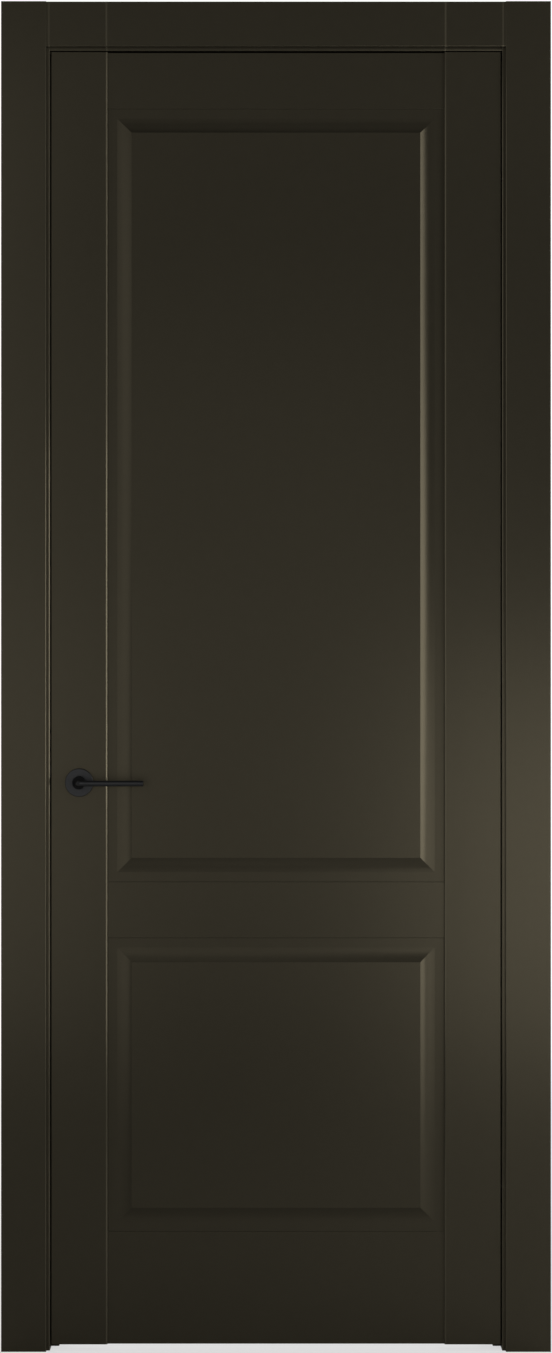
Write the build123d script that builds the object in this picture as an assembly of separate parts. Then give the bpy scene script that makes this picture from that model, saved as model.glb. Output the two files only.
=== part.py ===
from build123d import *
from math import cos, radians, sin
import os

# An interior door: a stile and rail leaf with raised panels, hung in a rebated frame with casings.
# Millimetres. +X to the right seen from the front, +Y into the wall, +Z up.
# The floor is z = 0, x = 0 is the middle of the doorway and y = 0 the middle of the leaf's thickness.

# Leaf
leaf_width = 800.0
leaf_height = 2300.0
leaf_thickness = 40.0
floor_gap = 11.0
edge_gap = 2.5
stile_width = 100.0
stile_bevel_width = 2.6
stile_bevel_depth = 1.25
stile_nose_radius = 1.2
stile_arris = 1.0
top_rail_height = 100.0
mid_rail_height = 100.0
bottom_rail_height = 200.0
lower_opening_height = 523.0
rail_thickness = 28.0
rail_arris = 0.8
groove_width = 10.0
groove_depth = 10.0
tenon_end_gap = 0.5
dowel_radius = 5.0
dowel_length = 110.0
dowel_end_gap = 1.0
dowel_edge_distance = 30.0

# Raised panels
panel_border_thickness = 24.0
panel_border_width = 17.0
panel_cove_width = 26.0
panel_cove_rise = 6.5
panel_end_gap = 1.0

# Frame lining
lining_depth = 80.0
lining_thickness = 40.0
stop_width = 14.0
stop_clearance = 1.0
reveal = 6.0
lining_bevel_width = 1.8
lining_bevel_depth = 0.88
lining_arris = 1.0
seal_land = 6.0
seal_groove_width = 4.0
seal_groove_depth = 9.0
seal_side_gap = 0.2
seal_leaf_gap = 0.3
seal_nose_radius = 0.6
seal_fin_end_gap = 4.0
lining_screw_radius = 3.0
lining_screw_length = 90.0
lining_screw_head_radius = 6.0
lining_screw_head_height = 3.5
lining_screw_inset = 12.0

# Casings
casing_width = 80.0
casing_thickness = 10.7
casing_bevel_width = 1.1
casing_bevel_depth = 0.54
casing_arris = 1.5
casing_head_drop = 0.8
casing_relief_offset = 38.0
casing_relief_width = 28.0
casing_relief_depth = 1.5
tongue_offset = 16.0
tongue_thickness = 5.0
tongue_length = 12.0
tongue_groove_depth = 16.0
tongue_side_gap = 0.1

# Lever handle
handle_height = 1000.0
backset = 50.0
rose_radius = 25.0
rose_depth = 8.0
rose_wall = 1.5
rose_arris = 1.2
rose_base_thickness = 5.0
rose_base_gap = 0.1
rose_hole_gap = 0.15
rose_bolt_spacing = 38.0
rose_bolt_radius = 2.5
rose_bolt_hole_gap = 0.5
rose_bolt_head_radius = 3.4
rose_bolt_head_height = 1.2
collar_radius = 11.5
collar_length = 15.0
collar_arris = 1.0
bearing_radius = 8.0
bearing_end_gap = 1.0
running_gap = 0.06
lever_radius = 5.0
lever_offset = 53.0
lever_bend_radius = 9.0
lever_reach = 116.0
lever_tip_length = 4.0
lever_tip_groove = 0.8
lever_tip_arris = 0.7
spindle_size = 8.0
spindle_gap = 0.1
spindle_engagement = 17.0
spindle_hole_radius = 11.0
grub_radius = 2.5
grub_length = 5.0

# Latch
latch_axis_rise = 20.0
bolt_thickness = 12.0
bolt_height = 20.0
bolt_projection = 12.0
bolt_head_length = 24.0
bolt_nose_flat = 2.0
bolt_gap = 0.2
bolt_tail_thickness = 6.0
bolt_tail_height = 6.0
hook_thickness = 4.0
hook_drop = 9.0
lever_travel = 40.0
arm_tip_radius = 2.5
arm_gap = 0.2
arm_thickness = 6.0
arm_neck_width = 3.0
hub_radius = 9.0
case_depth = 72.0
case_height = 90.0
case_thickness = 16.0
case_wall = 1.5
mortise_gap = 0.5
forend_thickness = 3.0
forend_width = 20.0
forend_height = 200.0
forend_screw_spacing = 170.0
small_screw_radius = 2.0
small_screw_length = 28.0
small_screw_head_radius = 4.0
small_screw_head_height = 2.2
spring_radius = 4.0
spring_wire = 0.5
spring_turns = 6.0
spring_end_gap = 0.6

# Strike
strike_thickness = 2.0
strike_width = 26.0
strike_height = 180.0
strike_screw_spacing = 150.0
strike_hole_gap = 0.5
strike_box_depth = 16.0
strike_box_wall = 1.5

# Concealed hinges. Places in plan are measured from the middle of the edge gap at the leaf's front.
hinge_end_distance = 250.0
fixed_pivot = (6.5, 12.5)
link_pivot_step = (4.0, 6.0)
arm_pivot_radius = 3.4
arm_cross_radius = 3.0
arm_waist_radius = 2.6
link_radius = 2.6
pivot_pin_radius = 2.0
link_pin_radius = 1.4
cross_pin_radius = 1.8
open_pivot_gap = 0.15
fixed_pivot_gap = 0.06
arm_height = 25.6
arm_half_gap = 0.3
link_height = 7.0
layer_gap = 1.0
pocket_gap = 0.5
pin_seat = 6.0
pin_end_gap = 1.0
housing_half_height = 40.0
housing_depth = 18.5
housing_width = 32.0
housing_wall = 1.8
mouth_lip = 1.0
mouth_slope = 5.0
mouth_relief = 1.5
cross_room = 2.0
hinge_plate_height = 150.0
hinge_plate_thickness = 3.0
hinge_screw_rises = (50.0, 64.0)
hinge_screw_radius = 2.2
hinge_screw_length = 32.0
hinge_screw_head_radius = 4.4
hinge_screw_head_height = 2.6
screw_gap = 0.05

# How far a cut runs past the face that it opens, or a piece into the one it joins
overrun = 1.0

# Sizes that follow from those above
half_leaf = leaf_width / 2
half_thickness = leaf_thickness / 2
leaf_bottom = floor_gap
leaf_top = floor_gap + leaf_height
rebate_x = half_leaf + edge_gap
rebate_top = leaf_top + edge_gap
lining_front = -half_thickness
lining_rear = lining_front + lining_depth
lining_outer = rebate_x + lining_thickness
stop_x = rebate_x - stop_width
stop_top = rebate_top - stop_width
stop_face = half_thickness + stop_clearance
lining_top = rebate_top + lining_thickness
stile_inner = half_leaf - stile_width
bottom_opening_low = leaf_bottom + bottom_rail_height
bottom_opening_high = bottom_opening_low + lower_opening_height
upper_opening_low = bottom_opening_high + mid_rail_height
upper_opening_high = leaf_top - top_rail_height
handle_x = -half_leaf + backset
handle_z = leaf_bottom + handle_height
hinge_x = half_leaf + edge_gap / 2
hinge_rises = (
    leaf_bottom + hinge_end_distance,
    (leaf_bottom + leaf_top) / 2,
    leaf_top - hinge_end_distance,
)


def block(x0, x1, y0, y1, z0, z1):
    """A box between two corners."""
    centre = Pos((x0 + x1) / 2, (y0 + y1) / 2, (z0 + z1) / 2)
    return centre * Box(x1 - x0, y1 - y0, z1 - z0)


def rod(start, direction, radius, length):
    """A round bar that begins at a point and runs along a direction."""
    return extrude(Plane(origin=start, z_dir=direction) * Circle(radius), length)


def prism(outline, z0, z1):
    """An outline in plan, raised between two heights."""
    return extrude(Pos(0, 0, z0) * outline, z1 - z0)


def upright_outline(points):
    """A closed outline in plan from its corners."""
    return make_face(Polyline(*points, close=True))


def screw(head_face, direction, radius, length, head_radius, head_height):
    """A countersunk screw with its head's flat face at a point."""
    start = Plane(origin=head_face, z_dir=direction)
    points = [(0, 0), (head_radius, 0), (radius, head_height), (radius, length - radius), (0, length)]
    outline = upright_outline(points)
    profile = Plane(origin=start.origin, x_dir=start.x_dir, z_dir=start.x_dir.cross(start.z_dir)) * outline
    return revolve(profile, Axis(start.origin, start.z_dir))


def rounded_along(solid, axis, radius, keep):
    """The solid with the edges along an axis that pass a test rounded."""
    edges = [edge for edge in solid.edges().filter_by(axis) if keep(edge.center())]
    return fillet(edges, radius)


def mirrored(solid):
    """The same piece on the other side of the doorway."""
    return mirror(solid, about=Plane.YZ)


# The leaf


def stile_blank():
    """The right stile without its ironmongery: a board with bevelled inner edges and a panel groove."""
    half = groove_width / 2
    outline = rectangle(stile_inner, half_leaf, -half_thickness, half_thickness)
    outline -= rectangle(stile_inner - overrun, stile_inner + groove_depth, -half, half)
    for side in (-1, 1):
        face = side * half_thickness
        outline = bevelled(outline, stile_inner, face, stile_bevel_width, -side * stile_bevel_depth)
        nose = face - side * stile_bevel_depth
        outline = rounded_corners(outline, [(stile_inner, nose)], stile_nose_radius)
        outline = rounded_corners(outline, [(half_leaf, face)], stile_arris)
    return prism(outline, leaf_bottom, leaf_top)


def rail(z_low, z_high, groove_low, groove_high):
    """A rail between the stiles, with stub tenons and with panel grooves where it meets a panel."""
    half = rail_thickness / 2
    groove_half = groove_width / 2
    board = block(-stile_inner, stile_inner, -half, half, z_low, z_high)
    board = rounded_along(board, Axis.X, rail_arris, lambda c: True)
    reach = stile_inner + groove_depth - tenon_end_gap
    board += block(-reach, reach, -groove_half, groove_half, z_low, z_high)
    if groove_low:
        board -= block(-reach, reach, -groove_half, groove_half, z_low - overrun, z_low + groove_depth)
    if groove_high:
        board -= block(-reach, reach, -groove_half, groove_half, z_high - groove_depth, z_high + overrun)
    return board


def raised_outline(half_span):
    """Half the section of a raised panel: tongue, flat border, hollow cove and raised field."""
    tongue_reach = half_span + groove_depth - panel_end_gap
    tongue_half = groove_width / 2
    border = panel_border_thickness / 2
    field = border + panel_cove_rise
    cove_outer = half_span - panel_border_width
    cove_inner = cove_outer - panel_cove_width
    cove_radius = (panel_cove_width**2 + panel_cove_rise**2) / (2 * panel_cove_rise)
    cove_mid = cove_radius - (cove_radius**2 - (panel_cove_width / 2) ** 2) ** 0.5
    middle = (cove_outer - panel_cove_width / 2, border + cove_mid)
    shoulder = [(cove_outer, border), (half_span, border), (half_span, tongue_half)]
    tongue = [(tongue_reach, tongue_half), (tongue_reach, 0)]
    lines = Polyline(*shoulder, *tongue, (0, 0), (0, field), (cove_inner, field))
    lines += ThreePointArc((cove_inner, field), middle, (cove_outer, border))
    quarter = make_face(lines)
    side = quarter + mirror(quarter, about=Plane.YZ)
    return side + mirror(side, about=Plane.XZ)


def raised_panel(z_low, z_high):
    """A raised panel: the upright and level sections meet in mitred coves at the corners."""
    centre = (z_low + z_high) / 2
    half_height = (z_high - z_low) / 2
    reach_x = stile_inner + groove_depth
    reach_z = half_height + groove_depth
    upright = extrude(Pos(0, 0, -reach_z) * raised_outline(stile_inner), 2 * reach_z)
    level_plane = Plane(origin=(-reach_x, 0, 0), x_dir=(0, 0, -1), z_dir=(1, 0, 0))
    level = extrude(level_plane * raised_outline(half_height), 2 * reach_x)
    return Pos(0, 0, centre) * (upright & level)


def dowel_places():
    """Where the dowels cross from each rail into the stiles: side and height."""
    rails = (
        (leaf_bottom, bottom_opening_low, 3),
        (bottom_opening_high, upper_opening_low, 2),
        (upper_opening_high, leaf_top, 2),
    )
    places = []
    for low, high, count in rails:
        step = (high - low - 2 * dowel_edge_distance) / (count - 1)
        for index in range(count):
            for side in (-1, 1):
                places.append((side, low + dowel_edge_distance + index * step))
    return places


def dowels(end_gap):
    """The dowels, or with an end gap the holes that they fill."""
    length = dowel_length + 2 * end_gap
    solids = []
    for side, height in dowel_places():
        start = (side * stile_inner - length / 2, 0, height)
        solids.append(rod(start, (1, 0, 0), dowel_radius, length))
    return Compound(solids)


# The lever handle


def round_piece(steps):
    """A turned piece about the spindle's line, on the front.

    Each step has a radius and its two distances from the leaf's middle.
    """
    piece = None
    for radius, near, far in steps:
        part = rod((handle_x, -near, handle_z), (0, -1, 0), radius, far - near)
        piece = part if piece is None else piece + part
    return piece


def spindle_bar(size, half_length):
    """A square bar along the spindle's line."""
    bar = Box(size, 2 * half_length, size)
    return Pos(handle_x, 0, handle_z) * bar


def rose_cover():
    """The round cover, a shallow cup turned to the leaf with a hole for the lever's collar."""
    face = half_thickness
    cover = round_piece([(rose_radius, face, face + rose_depth)])
    cover = fillet(cover.edges().group_by(Axis.Y)[0], rose_arris)
    cover -= round_piece([(rose_radius - rose_wall, face - overrun, face + rose_depth - rose_wall)])
    return cover - round_piece([(collar_radius + rose_hole_gap, face, face + rose_depth + overrun)])


def rose_bolt_places():
    return (handle_x - rose_bolt_spacing / 2, handle_x + rose_bolt_spacing / 2)


def rose_base():
    """The plate under the cover: it carries the lever's bearing and the through bolts."""
    face = half_thickness
    top = face + rose_base_thickness
    base = round_piece([(rose_radius - rose_wall - rose_base_gap, face, top)])
    base -= round_piece([(bearing_radius + running_gap, face - overrun, top + overrun)])
    for x in rose_bolt_places():
        base -= rod((x, 0, handle_z), (0, -1, 0), rose_bolt_radius, 2 * top)
        seat = top - rose_bolt_head_height
        base -= rod((x, -seat, handle_z), (0, -1, 0), rose_bolt_head_radius, rose_bolt_head_height)
    return base


def rose_bolts():
    """The bolts that clamp both rose bases to the leaf."""
    reach = half_thickness + rose_base_thickness
    seat = reach - rose_bolt_head_height
    bolts = []
    for x in rose_bolt_places():
        bolt = rod((x, -reach, handle_z), (0, 1, 0), rose_bolt_radius, 2 * reach)
        bolt += rod((x, -reach, handle_z), (0, 1, 0), rose_bolt_head_radius, rose_bolt_head_height)
        bolt += rod((x, seat, handle_z), (0, 1, 0), rose_bolt_head_radius, rose_bolt_head_height)
        bolts.append(bolt)
    return Compound(bolts)


def collar_base():
    """How far the collar's inner face is from the leaf's middle."""
    return half_thickness + rose_base_thickness + 2 * running_gap


def lever():
    """The front lever: bearing, collar and a bent round bar with a parted tip."""
    face = half_thickness
    collar_end = face + rose_depth + collar_length
    bar_y = -(face + lever_offset)
    collar = round_piece([(collar_radius, collar_base(), collar_end)])
    collar = fillet(collar.edges().group_by(Axis.Y)[0], collar_arris)
    body = collar + round_piece([(bearing_radius, face + bearing_end_gap, collar_base())])
    path = Line((handle_x, overrun - collar_end, handle_z), (handle_x, bar_y + lever_bend_radius, handle_z))
    inset = lever_bend_radius * (1 - cos(radians(45)))
    bend_end = (handle_x + lever_bend_radius, bar_y, handle_z)
    path += ThreePointArc(path @ 1, (handle_x + inset, bar_y + inset, handle_z), bend_end)
    path += Line(bend_end, (handle_x + lever_reach, bar_y, handle_z))
    section = Plane(origin=path @ 0, z_dir=path % 0) * Circle(lever_radius)
    bar = sweep(section, path)
    bar = chamfer(bar.edges().group_by(Axis.X)[-1], lever_tip_arris)
    groove_start = (handle_x + lever_reach - lever_tip_length - lever_tip_groove, bar_y, handle_z)
    groove = rod(groove_start, (1, 0, 0), lever_radius + overrun, lever_tip_groove)
    groove -= rod(groove_start, (1, 0, 0), lever_radius - lever_tip_groove / 2, lever_tip_groove)
    body = body + bar - groove
    body -= spindle_bar(spindle_size, half_spindle() + spindle_gap)
    hole_start = (handle_x, -(face + rose_depth + collar_length / 2), handle_z - collar_radius - overrun)
    return body - rod(hole_start, (0, 0, 1), grub_radius, collar_radius)


def half_spindle():
    """Half the spindle's length: it ends inside each lever's collar."""
    return half_thickness + rose_base_thickness + spindle_engagement


def grub_screws():
    """The screws that hold each lever on the spindle."""
    grub_y = half_thickness + rose_depth + collar_length / 2
    foot = handle_z - (spindle_size - spindle_gap) / 2 - grub_length
    feet = [(handle_x, side * grub_y, foot) for side in (-1, 1)]
    return Compound([rod(start, (0, 0, 1), grub_radius, grub_length) for start in feet])


# The latch


def arm_length():
    """The follower's arm carries the bolt through its projection over the lever's travel."""
    return bolt_projection / (2 * sin(radians(lever_travel / 2)))


def follower():
    """The hub on the spindle, with the arm that draws the bolt."""
    half = case_thickness / 2
    lean = radians(lever_travel / 2)
    tip_x = handle_x - arm_length() * sin(lean)
    tip_z = handle_z + arm_length() * cos(lean)
    hub = rod((handle_x, -half, handle_z), (0, 1, 0), hub_radius, case_thickness)
    plane = Plane(origin=(0, arm_thickness / 2, 0), x_dir=(1, 0, 0), z_dir=(0, -1, 0))
    neck = arm_neck_width / 2
    outline = bar_outline([((handle_x, handle_z), neck), ((tip_x, tip_z), neck)])
    outline += Pos(tip_x, tip_z) * Circle(arm_tip_radius)
    arm = extrude(plane * outline, arm_thickness)
    return hub + arm - spindle_bar(spindle_size, half + overrun)


def bolt_z():
    return handle_z + latch_axis_rise


def latch_bolt():
    """The bevelled bolt, with a tail and the hook that the follower's arm pushes."""
    half = bolt_thickness / 2
    nose = -half_leaf - bolt_projection
    back = nose + bolt_head_length
    bevel = [(nose, -half + bolt_nose_flat), (-half_leaf - bolt_gap, half)]
    outline = upright_outline([(back, -half), (nose, -half), *bevel, (back, half)])
    head = prism(outline, bolt_z() - bolt_height / 2, bolt_z() + bolt_height / 2)
    hook_face = handle_x - bolt_projection / 2 + arm_tip_radius + arm_gap
    tail_half = bolt_tail_thickness / 2
    top = bolt_z() + bolt_height / 2
    tail = block(back, hook_face + hook_thickness, -tail_half, tail_half, top - bolt_tail_height, top)
    hook_low = top - bolt_tail_height - hook_drop
    hook = block(hook_face, hook_face + hook_thickness, -tail_half, tail_half, hook_low, top)
    return head + tail + hook


def case_hollow_x():
    """The left and right faces of the room inside the latch case."""
    left = -half_leaf + forend_thickness
    return left, left + case_depth - case_wall


def latch_holes(y0, y1):
    """The holes through the case for the hub and the rose bolts."""
    holes = rod((handle_x, y0, handle_z), (0, 1, 0), hub_radius + running_gap, y1 - y0)
    for x in rose_bolt_places():
        holes += rod((x, y0, handle_z), (0, 1, 0), rose_bolt_radius + rose_bolt_hole_gap, y1 - y0)
    return holes


def latch_case():
    """The case, a tray open to the front and to the forend."""
    left, right = case_hollow_x()
    half = case_thickness / 2
    low = handle_z - case_height / 2
    high = handle_z + case_height / 2
    tray = block(left, right + case_wall, -half + case_wall, half, low, high)
    tray -= block(left - overrun, right, -half, half - case_wall, low + case_wall, high - case_wall)
    return tray - latch_holes(-half, half + overrun)


def latch_cover():
    """The plate that closes the case."""
    left, right = case_hollow_x()
    half = case_thickness / 2
    low = handle_z - case_height / 2
    high = handle_z + case_height / 2
    plate = block(left, right + case_wall, -half, -half + case_wall, low, high)
    return plate - latch_holes(-half - overrun, 0)


def latch_mortise():
    """What the lock stile loses for the latch, its screws and the handle."""
    left, right = case_hollow_x()
    back = right + case_wall + mortise_gap
    half = case_thickness / 2 + mortise_gap
    rise = case_height / 2 + mortise_gap
    room = block(left - overrun, back, -half, half, handle_z - rise, handle_z + rise)
    room += face_plate(-half_leaf, left, forend_width, forend_height, handle_z)
    reach = half_thickness + overrun
    room += rod((handle_x, -reach, handle_z), (0, 1, 0), spindle_hole_radius, 2 * reach)
    bolt_hole = rose_bolt_radius + rose_bolt_hole_gap
    for x in rose_bolt_places():
        room += rod((x, -reach, handle_z), (0, 1, 0), bolt_hole, 2 * reach)
    for face in forend_screw_faces():
        room += small_screw(face, (1, 0, 0), screw_gap)
    return room


def face_plate(x0, x1, width, height, z):
    """A flat plate on edge, with round corners."""
    plane = Plane(origin=(x0, 0, z), x_dir=(0, 1, 0), z_dir=(1, 0, 0))
    return extrude(plane * RectangleRounded(width, height, width / 4), x1 - x0)


def forend_screw_faces():
    return [(-half_leaf, 0, handle_z + side * forend_screw_spacing / 2) for side in (-1, 1)]


def small_screw(head_face, direction, grow):
    """A small countersunk screw, or with a growth the hole for it."""
    radius = small_screw_radius + grow
    head_radius = small_screw_head_radius + grow
    return screw(head_face, direction, radius, small_screw_length, head_radius, small_screw_head_height)


def latch_forend():
    """The plate at the leaf's edge that the bolt slides through."""
    inner = -half_leaf + forend_thickness
    plate = face_plate(-half_leaf, inner, forend_width, forend_height, handle_z)
    half = bolt_thickness / 2 + bolt_gap
    low = bolt_z() - bolt_height / 2 - bolt_gap
    high = bolt_z() + bolt_height / 2 + bolt_gap
    plate -= block(-half_leaf - overrun, inner + overrun, -half, half, low, high)
    for face in forend_screw_faces():
        plate -= small_screw(face, (1, 0, 0), screw_gap)
    return plate


def latch_spring():
    """The coil that pushes the bolt out, between the hook and the end of the case."""
    hook_back = handle_x - bolt_projection / 2 + arm_tip_radius + arm_gap + hook_thickness
    start = hook_back + spring_end_gap
    length = case_hollow_x()[1] - spring_end_gap - start
    path = Helix(pitch=length / spring_turns, height=length, radius=spring_radius)
    section = Plane(origin=path @ 0, z_dir=path % 0) * RegularPolygon(spring_wire, 6)
    coil = sweep(section, path, is_frenet=True)
    height = bolt_z() + bolt_height / 2 - bolt_tail_height - hook_drop / 4
    return Pos(start, 0, height) * Rot(0, 90, 0) * coil


# The strike


def strike_plate():
    """The plate in the lining that the bolt snaps into."""
    face = -rebate_x
    plate = face_plate(face - strike_thickness, face, strike_width, strike_height, handle_z)
    plate -= strike_way(face - strike_thickness - overrun, face + overrun)
    for point in strike_screw_faces():
        plate -= small_screw(point, (-1, 0, 0), screw_gap)
    return plate


def strike_way(x0, x1):
    """The way for the bolt through the strike."""
    half = bolt_thickness / 2 + strike_hole_gap
    half_height = bolt_height / 2 + strike_hole_gap
    return block(x0, x1, -half, half, bolt_z() - half_height, bolt_z() + half_height)


def strike_screw_faces():
    return [(-rebate_x, 0, handle_z + side * strike_screw_spacing / 2) for side in (-1, 1)]


def strike_box_blank(grow):
    """The outside of the box behind the strike."""
    x1 = -rebate_x - strike_thickness
    half = bolt_thickness / 2 + strike_hole_gap + strike_box_wall + grow
    rise = bolt_height / 2 + strike_hole_gap + strike_box_wall + grow
    return block(x1 - strike_box_depth - grow, x1, -half, half, bolt_z() - rise, bolt_z() + rise)


def strike_box():
    """The dust box behind the strike."""
    x1 = -rebate_x - strike_thickness
    return strike_box_blank(0) - strike_way(x1 - strike_box_depth + strike_box_wall, x1 + overrun)


# The concealed hinges. Each piece is drawn for the frame, and the leaf's is its copy turned half round.


def bar_outline(points):
    """A rounded bar through points in plan, each with its radius."""
    outline = None
    for (a, ra), (b, rb) in zip(points, points[1:]):
        ends = Pos(*a) * Circle(ra) + Pos(*b) * Circle(rb)
        part = make_hull(ends.edges())
        outline = part if outline is None else outline + part
    return outline


def plan_points():
    """The pivots of the frame's side in plan at rest: fixed, cross, far, link and link's far end."""
    px, py = fixed_pivot
    sx, sy = link_pivot_step
    return {
        "fixed": (px, py),
        "cross": (0.0, 2 * py),
        "far": (-sx, 2 * py + sy),
        "link": (px + sx, py + sy),
        "link_far": (sx, 2 * py + sy),
    }


def upright_rod(place, radius, low, high):
    """A round bar that stands at a point in plan, between two heights."""
    return rod((*place, low), (0, 0, 1), radius, high - low)


def turned(solid):
    """The leaf's copy of a hinge piece."""
    return Rot(0, 180, 0) * solid


def arm(with_pin):
    """The frame's arm below the middle: its pivot pin, and either the cross pin or a hole for it."""
    at = plan_points()
    top = -arm_half_gap
    low = top - arm_height
    middle = ((at["fixed"][0] + at["cross"][0]) / 2, (at["fixed"][1] + at["cross"][1]) / 2)
    near = [(at["fixed"], arm_pivot_radius), (middle, arm_waist_radius)]
    far = [(middle, arm_waist_radius), (at["cross"], arm_cross_radius), (at["far"], link_radius)]
    body = prism(bar_outline(near) + bar_outline(far), low, top)
    body += upright_rod(at["fixed"], pivot_pin_radius, low - pin_seat, top + pin_seat)
    body -= upright_rod(at["far"], link_pin_radius + open_pivot_gap, low - overrun, low + arm_height / 2)
    if with_pin:
        return body + upright_rod(at["cross"], cross_pin_radius, low, arm_half_gap + arm_height)
    return body - upright_rod(at["cross"], cross_pin_radius + open_pivot_gap, low - overrun, top + overrun)


def link():
    """The frame's link above the arms: its pivot pin, and the pin that goes down into the leaf's arm."""
    at = plan_points()
    arm_top = arm_half_gap + arm_height
    low = arm_top + layer_gap
    high = low + link_height
    body = prism(bar_outline([(at["link"], link_radius), (at["link_far"], link_radius)]), low, high)
    body += upright_rod(at["link"], link_pin_radius, arm_top - pin_seat, high + pin_seat)
    pin_low = arm_top - arm_height / 2 + pin_end_gap
    return body + upright_rod(at["link_far"], link_pin_radius, pin_low, low + overrun)


def hinge_block(grow):
    """The outside of a hinge housing, or with a growth the mortise for it."""
    face = edge_gap / 2
    back = face + housing_depth + grow
    half = housing_width / 2 + grow
    rise = housing_half_height + grow
    return block(face, back, half_thickness - half, half_thickness + half, -rise, rise)


def hinge_face(grow):
    """The face plate of a housing, with round ends."""
    face = edge_gap / 2
    plane = Plane(origin=(face, half_thickness, 0), x_dir=(0, 1, 0), z_dir=(1, 0, 0))
    outline = SlotOverall(hinge_plate_height + 2 * grow, housing_width + 2 * grow, rotation=90)
    return extrude(plane * outline, hinge_plate_thickness)


def hinge_screws(grow):
    """The screws of one housing, or with a growth the holes for them."""
    screws = []
    for rise in hinge_screw_rises:
        for side in (-1, 1):
            face = (edge_gap / 2, half_thickness, side * rise)
            radius = hinge_screw_radius + grow
            head = hinge_screw_head_radius + grow
            screws.append(screw(face, (1, 0, 0), radius, hinge_screw_length, head, hinge_screw_head_height))
    return Compound(screws)


def hinge_housing():
    """The frame's housing: pockets for the layers of arms and links, and bores for the pins."""
    at = plan_points()
    face = edge_gap / 2
    front = half_thickness - housing_width / 2 + housing_wall
    rear = half_thickness + housing_width / 2 - housing_wall
    arm_low = -arm_half_gap - arm_height - pocket_gap
    arm_high = arm_half_gap + arm_height + pocket_gap
    link_low = arm_half_gap + arm_height + layer_gap - pocket_gap
    link_high = link_low + link_height + 2 * pocket_gap
    body = hinge_block(0) + hinge_face(0)
    fixed_back = at["fixed"][0] + arm_pivot_radius + pocket_gap
    arm_pocket = [
        (face - overrun, front - mouth_lip),
        (face, front - mouth_lip),
        (face + mouth_slope, front),
        (fixed_back, front),
        (fixed_back, at["fixed"][1] + arm_pivot_radius),
        (at["cross"][0] + arm_cross_radius + cross_room, rear),
        (face - overrun, rear),
    ]
    body -= prism(upright_outline(arm_pocket), arm_low, 0)
    cross_front = at["cross"][1] - arm_cross_radius - cross_room
    cross_back = at["link_far"][0] + link_radius + pocket_gap
    link_back = at["link"][0] + link_radius + pocket_gap
    body -= block(face - overrun, cross_back, cross_front, rear, -overrun, arm_high)
    body -= block(face - overrun, face + mouth_relief, front, rear, 0, arm_high)
    body -= block(face - overrun, link_back, front, rear, link_low, link_high)
    seat = pin_seat + pin_end_gap
    arm_top = arm_half_gap + arm_height
    pin_bore = pivot_pin_radius + fixed_pivot_gap
    body -= upright_rod(at["fixed"], pin_bore, -arm_top - seat, -arm_half_gap + seat)
    link_top = arm_top + layer_gap + link_height
    body -= upright_rod(at["link"], link_pin_radius + fixed_pivot_gap, arm_top - seat, link_top + seat)
    return body - hinge_screws(screw_gap)


def hinge_mortise():
    """What the wood loses for one housing and its screws."""
    return hinge_block(mortise_gap) + hinge_face(0) + hinge_screws(screw_gap)


def at_hinge(solid, height):
    """A hinge piece moved from the plan coordinates of the hinges to its place."""
    return Pos(hinge_x, -half_thickness, height) * solid


# Frame lining and casings


def lining_section():
    """The plan of the right lining: rebate, stop, and the grooves for the seal and the tongues."""
    outline = upright_outline(
        [
            (rebate_x, lining_front),
            (lining_outer, lining_front),
            (lining_outer, lining_rear),
            (stop_x, lining_rear),
            (stop_x, stop_face),
            (rebate_x, stop_face),
        ]
    )
    outline = rounded_corners(outline, [(stop_x, stop_face)], lining_arris)
    outline = bevelled(outline, rebate_x, lining_front, lining_bevel_width, lining_bevel_depth)
    seal_outer = rebate_x - seal_land
    seal_back = stop_face + seal_groove_depth
    outline -= rectangle(seal_outer - seal_groove_width, seal_outer, stop_face - overrun, seal_back)
    front_tongue = rebate_x + reveal + tongue_offset
    rear_tongue = stop_x + reveal + tongue_offset
    outline -= tongue_groove(front_tongue, lining_front - overrun, lining_front + tongue_groove_depth)
    outline -= tongue_groove(rear_tongue, lining_rear - tongue_groove_depth, lining_rear + overrun)
    return outline


def rounded_corners(outline, points, radius):
    """An outline in plan with the corners at some points rounded."""
    corners = []
    for x, y in points:
        corners.append(min(outline.vertices(), key=lambda corner: abs(corner.X - x) + abs(corner.Y - y)))
    return fillet(corners, radius)


def bevelled(outline, x, y, across, deep):
    """An outline in plan with the corner at a point cut off, by signed lengths along x and y."""
    return outline - upright_outline([(x, y), (x + across, y), (x, y + deep)])


def rectangle(x0, x1, y0, y1):
    return Pos((x0 + x1) / 2, (y0 + y1) / 2) * Rectangle(x1 - x0, y1 - y0)


def tongue_groove(x0, y0, y1):
    return rectangle(x0 - tongue_side_gap, x0 + tongue_thickness + tongue_side_gap, y0, y1)


def casing_section(inner, face, outward):
    """The plan of a casing on the right: a board with a relieved back and a tongue."""
    edge = face + outward * casing_thickness
    board = rectangle(inner, inner + casing_width, min(face, edge), max(face, edge))
    board = rounded_corners(board, [(inner + casing_width, edge)], casing_arris)
    board = bevelled(board, inner, edge, casing_bevel_width, -outward * casing_bevel_depth)
    relief_x = inner + casing_relief_offset
    relief = face + outward * casing_relief_depth
    opened = face - outward * overrun
    board -= rectangle(relief_x, relief_x + casing_relief_width, min(opened, relief), max(opened, relief))
    tip = face - outward * tongue_length
    tongue_x = inner + tongue_offset
    return board + rectangle(tongue_x, tongue_x + tongue_thickness, min(face, tip), max(face, tip))


def level(section, across, drop):
    """A section for the right side laid along the head: its x becomes the height above a stated edge."""
    plane = Plane(origin=(-across, 0, drop), x_dir=(0, 0, 1), z_dir=(-1, 0, 0))
    return extrude(plane * section, -2 * across)


def head_lining():
    """The head lining between the side linings."""
    return level(lining_section(), rebate_x, rebate_top - rebate_x)


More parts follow.
